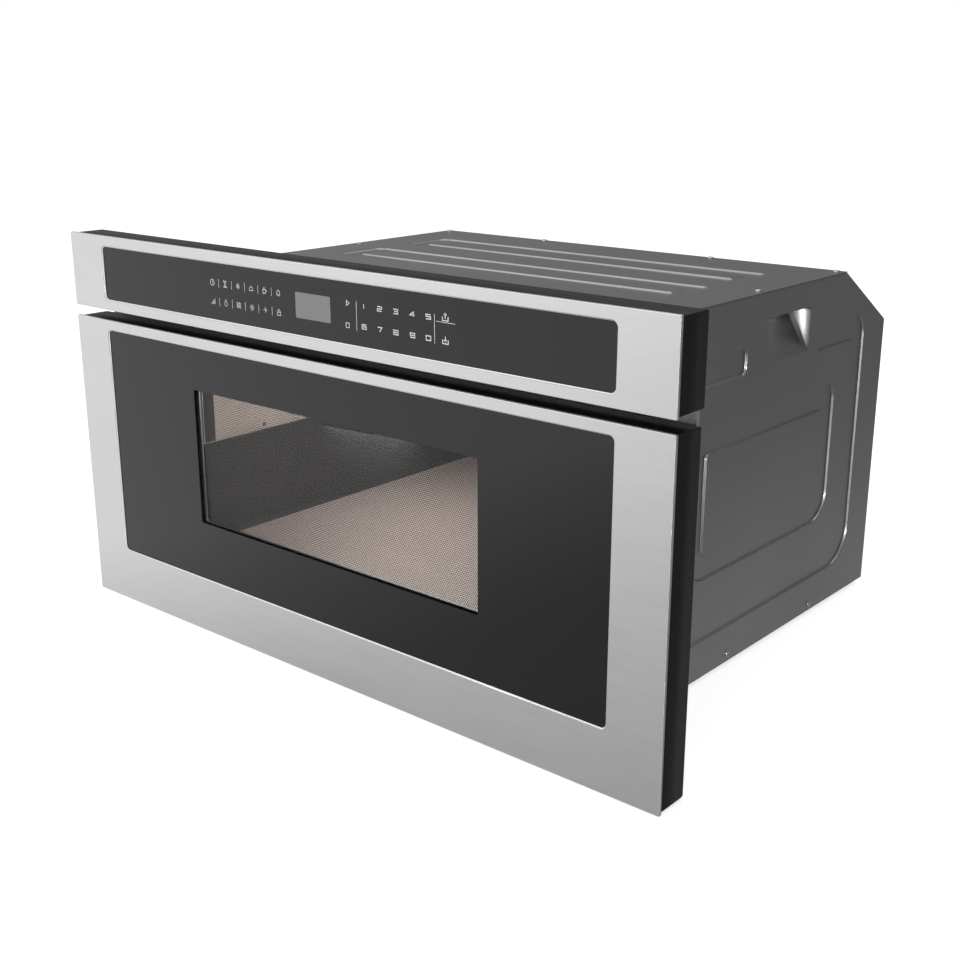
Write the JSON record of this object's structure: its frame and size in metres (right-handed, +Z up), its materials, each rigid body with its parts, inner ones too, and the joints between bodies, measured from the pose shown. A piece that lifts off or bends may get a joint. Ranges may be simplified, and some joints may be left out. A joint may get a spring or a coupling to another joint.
{
  "type": "microwave drawer",
  "caption": "Built-in microwave drawer: powered oven drawer on telescopic slides under a touch panel, in a sheet-steel cabinet.",
  "frame": {"origin": "centre of the footprint on the surface the feet stand on", "axes": "+Z up, +X to the viewer's right, the front looks along -Y"},
  "size_m": [0.76, 0.586, 0.4058],
  "materials": {
    "brushed_steel": "horizontally brushed stainless steel",
    "black_plastic": "black moulded plastic",
    "dark_glass": "back-painted dark glass",
    "cabinet_steel": "coated sheet steel, satin",
    "zinc_steel": "zinc-coated sheet steel",
    "oven_enamel": "light enamel",
    "tub_coating": "dark non-stick coating",
    "ceramic_plate": "glazed ceramic plate",
    "screen_metal": "perforated screen, black coated",
    "display": "unlit display window",
    "mica": "mica sheet",
    "grey_plastic": "glass-filled plastic",
    "white_plastic": "acetal plastic",
    "circuit_board": "solder-masked board",
    "cast_aluminium": "plain aluminium",
    "copper_winding": "varnished copper winding",
    "laminated_iron": "varnished laminated iron",
    "black_part": "black moulded part"
  },
  "bodies": {
    "chassis": {"fascia_steel": "brushed_steel", "fascia_housing": "black_plastic", "fascia_glass": "dark_glass", "side_panel_right": "cabinet_steel", "side_panel_left": "cabinet_steel", "top_panel": "cabinet_steel", "front_frame": "zinc_steel", "rear_panel": "zinc_steel", "base_pan": "zinc_steel", "rail_outer_right": "zinc_steel", "rail_outer_left": "zinc_steel", "rail_bracket_right": "zinc_steel", "rail_bracket_left": "zinc_steel", "interlock_bracket_right": "zinc_steel", "interlock_bracket_left": "zinc_steel", "waveguide": "zinc_steel", "cavity_floor": "oven_enamel", "cavity_side_right": "oven_enamel", "cavity_side_left": "oven_enamel", "cavity_ceiling": "oven_enamel", "cavity_rear": "oven_enamel", "display_module": "display", "stirrer_cover": "mica", "air_duct": "grey_plastic", "oven_lamp": "white_plastic", "touch_board": "circuit_board", "power_board": "circuit_board", "noise_filter": "circuit_board", "magnetron": "cast_aluminium", "capacitor": "cast_aluminium", "transformer_coils": "copper_winding", "transformer_core": "laminated_iron", "fan_motor": "laminated_iron", "gear_motor": "black_part", "cord_gland": "black_part", "interlock_switch_right": "black_part", "interlock_switch_left": "black_part", "stirrer_motor": "black_part", "fan_shroud": "black_part"},
    "drawer": {"drawer_front_steel": "brushed_steel", "drawer_front_housing": "black_plastic", "door_glass": "dark_glass", "door_screen": "screen_metal", "door_plate": "zinc_steel", "choke_cover": "black_plastic", "tub": "tub_coating", "tub_floor": "ceramic_plate", "drawer_arm_right": "zinc_steel", "drawer_arm_left": "zinc_steel", "drawer_cross_member": "zinc_steel", "latch_hook_right": "white_plastic", "latch_hook_left": "white_plastic", "drive_rack": "white_plastic", "rail_inner_right": "zinc_steel", "rail_inner_left": "zinc_steel"},
    "slide_middle_right": {"rail_middle_right": "zinc_steel"},
    "slide_middle_left": {"rail_middle_left": "zinc_steel"},
    "pinion": {"drive_pinion": "white_plastic"},
    "impeller": {"fan_impeller": "grey_plastic"},
    "stirrer": {"stirrer": "cast_aluminium"}
  },
  "joints": [
    {"name": "drawer_slide", "type": "slide", "parent": "chassis", "child": "drawer", "axis": [0, -1, 0], "range_m": [0, 0.381]},
    {"name": "slide_middle_right", "type": "slide", "parent": "chassis", "child": "slide_middle_right", "axis": [0, -1, 0], "range_m": [0, 0.191]},
    {"name": "slide_middle_left", "type": "slide", "parent": "chassis", "child": "slide_middle_left", "axis": [0, -1, 0], "range_m": [0, 0.191]},
    {"name": "pinion_spin", "type": "hinge", "parent": "chassis", "child": "pinion", "pos_m": [0, -0.22685, 0.0452], "axis": [1, 0, 0], "range_deg": [-1, 1215]},
    {"name": "impeller_spin", "type": "hinge", "parent": "chassis", "child": "impeller", "pos_m": [0.15, 0.27015, 0.2153], "axis": [0, 1, 0], "continuous": true},
    {"name": "stirrer_spin", "type": "hinge", "parent": "chassis", "child": "stirrer", "pos_m": [0, -0.03685, 0.28], "axis": [0, 0, 1], "continuous": true}
  ],
  "couplings": [
    {"joint": "slide_middle_right", "follows": "drawer_slide", "ratio": 0.5},
    {"joint": "slide_middle_left", "follows": "drawer_slide", "ratio": 0.5},
    {"joint": "pinion_spin", "follows": "drawer_slide", "rad_per_m": 55.556}
  ]
}
